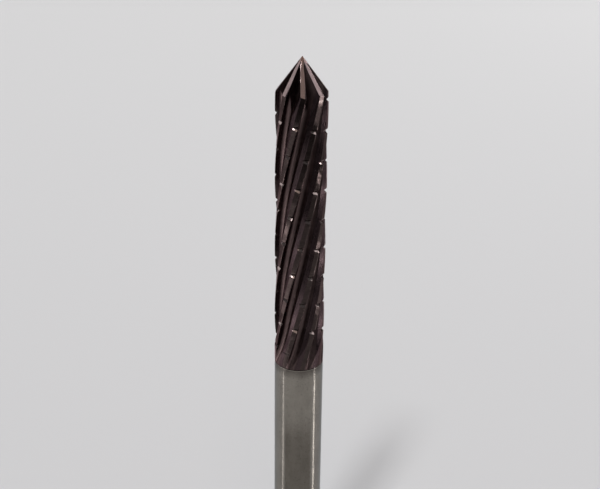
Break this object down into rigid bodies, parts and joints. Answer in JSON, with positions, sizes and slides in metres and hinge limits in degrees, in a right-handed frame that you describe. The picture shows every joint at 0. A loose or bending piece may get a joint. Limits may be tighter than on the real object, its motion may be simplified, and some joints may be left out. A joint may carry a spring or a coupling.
{
  "type": "reamer",
  "caption": "Solid carbide reamer with a plain cylindrical shank, right-hand helical flutes crossed by a chip-breaker groove, and a fluted conical point.",
  "frame": {"origin": "centre of the shank's flat end face", "axes": "+Z along the axis, from the shank's end face to the point; -Y towards the tooth that faces the camera in the picture; +X to its right"},
  "size_m": [0.006, 0.006, 0.075],
  "materials": {
    "carbide": "dark coating over ground carbide on the fluted part, bare fine-ground grey on the shank"
  },
  "bodies": {
    "root": {"reamer": "carbide"}
  },
  "joints": []
}
